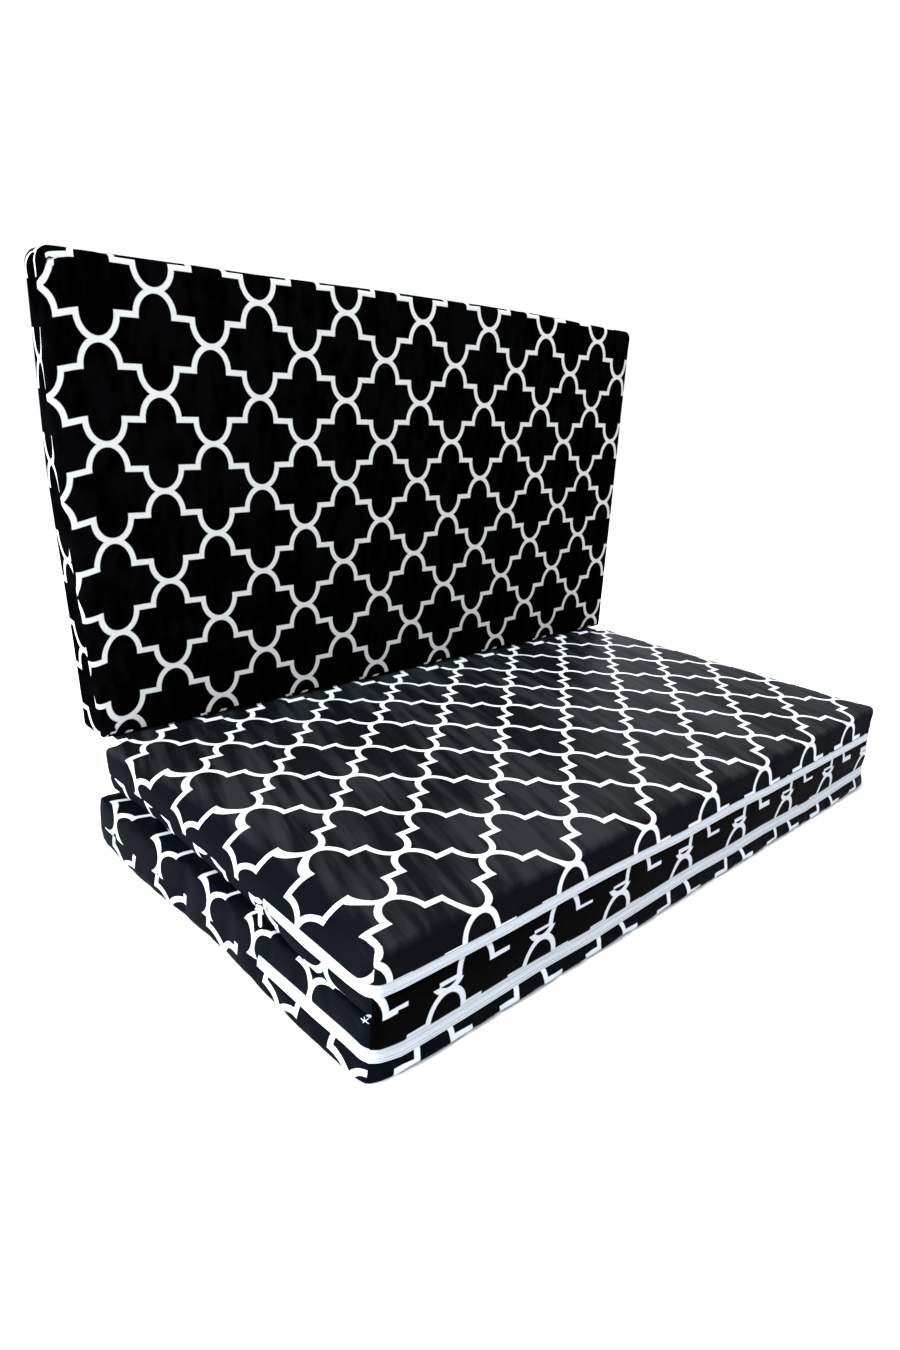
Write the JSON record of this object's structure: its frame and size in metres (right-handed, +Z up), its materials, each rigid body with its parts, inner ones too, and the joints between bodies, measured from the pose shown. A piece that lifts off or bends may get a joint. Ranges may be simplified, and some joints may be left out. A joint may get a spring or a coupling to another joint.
{
  "type": "folding floor mattress",
  "caption": "Folding floor mattress set up as a low sofa: foam panels in zipped, lattice-printed covers, joined by cloth hinges, seat stacked on base, back upright.",
  "frame": {"origin": "on the floor, in the middle of the space that the sofa takes up", "axes": "+X along the panels' long side, to the right for someone who looks at the front; +Y towards the back panel; +Z up"},
  "size_m": [1.2092, 0.739, 0.7903],
  "materials": {
    "cover_cloth": "plain-weave polyester, blue-black with a printed white trellis, slight sheen",
    "foam": "soft cream polyurethane foam, hidden inside the covers",
    "zip_tape": "white woven tape",
    "zip_coil": "white nylon coil",
    "slider_metal": "white lacquered zinc",
    "thread": "white polyester thread"
  },
  "bodies": {
    "base_panel": {"base_foam_core": "foam", "base_cover_top": "cover_cloth", "base_cover_bottom": "cover_cloth", "base_zip_tape_lower": "zip_tape", "base_zip_tape_upper": "zip_tape", "base_zip_coil_lower": "zip_coil", "base_zip_coil_upper": "zip_coil", "front_hinge_cloth": "cover_cloth", "front_tack_left": "thread", "front_tack_right": "thread"},
    "seat_panel": {"seat_foam_core": "foam", "seat_cover_top": "cover_cloth", "seat_cover_bottom": "cover_cloth", "seat_zip_tape_lower": "zip_tape", "seat_zip_tape_upper": "zip_tape", "seat_zip_coil_lower": "zip_coil", "seat_zip_coil_upper": "zip_coil", "rear_hinge_cloth": "cover_cloth"},
    "back_panel": {"back_foam_core": "foam", "back_cover_front": "cover_cloth", "back_cover_rear": "cover_cloth", "back_zip_tape_front": "zip_tape", "back_zip_tape_rear": "zip_tape", "back_zip_coil_front": "zip_coil", "back_zip_coil_rear": "zip_coil"},
    "base_slider": {"base_zip_slider": "slider_metal"},
    "base_tab": {"base_pull_tab": "slider_metal"},
    "seat_slider": {"seat_zip_slider": "slider_metal"},
    "seat_tab": {"seat_pull_tab": "slider_metal"},
    "back_slider": {"back_zip_slider": "slider_metal"},
    "back_tab": {"back_pull_tab": "slider_metal"}
  },
  "joints": [
    {"name": "front_fold", "type": "hinge", "parent": "base_panel", "child": "seat_panel", "pos_m": [0, -0.36965, 0.07515], "axis": [1, 0, 0], "range_deg": [0, 180], "deforming": ["front_hinge_cloth"]},
    {"name": "back_fold", "type": "hinge", "parent": "seat_panel", "child": "back_panel", "pos_m": [0, 0.2865, 0.1546], "axis": [-1, 0, 0], "range_deg": [-90, 90], "deforming": ["rear_hinge_cloth"]},
    {"name": "base_zip_slide", "type": "slide", "parent": "base_panel", "child": "base_slider", "axis": [0, -1, 0], "range_m": [0, 0.174]},
    {"name": "base_tab_swing", "type": "hinge", "parent": "base_slider", "child": "base_tab", "pos_m": [0.6, -0.1708, 0.031], "axis": [-1, 0, 0], "range_deg": [-40, 90]},
    {"name": "seat_zip_slide", "type": "slide", "parent": "seat_panel", "child": "seat_slider", "axis": [0, -1, 0], "range_m": [0, 0.174]},
    {"name": "seat_tab_swing", "type": "hinge", "parent": "seat_slider", "child": "seat_tab", "pos_m": [-0.6, -0.1708, 0.1063], "axis": [-1, 0, 0], "range_deg": [-40, 90]},
    {"name": "back_zip_slide", "type": "slide", "parent": "back_panel", "child": "back_slider", "axis": [0, 0, 1], "range_m": [0, 0.174]},
    {"name": "back_tab_swing", "type": "hinge", "parent": "back_slider", "child": "back_tab", "pos_m": [0.6, 0.3215, 0.585], "axis": [-1, 0, 0], "range_deg": [-90, 90]}
  ]
}
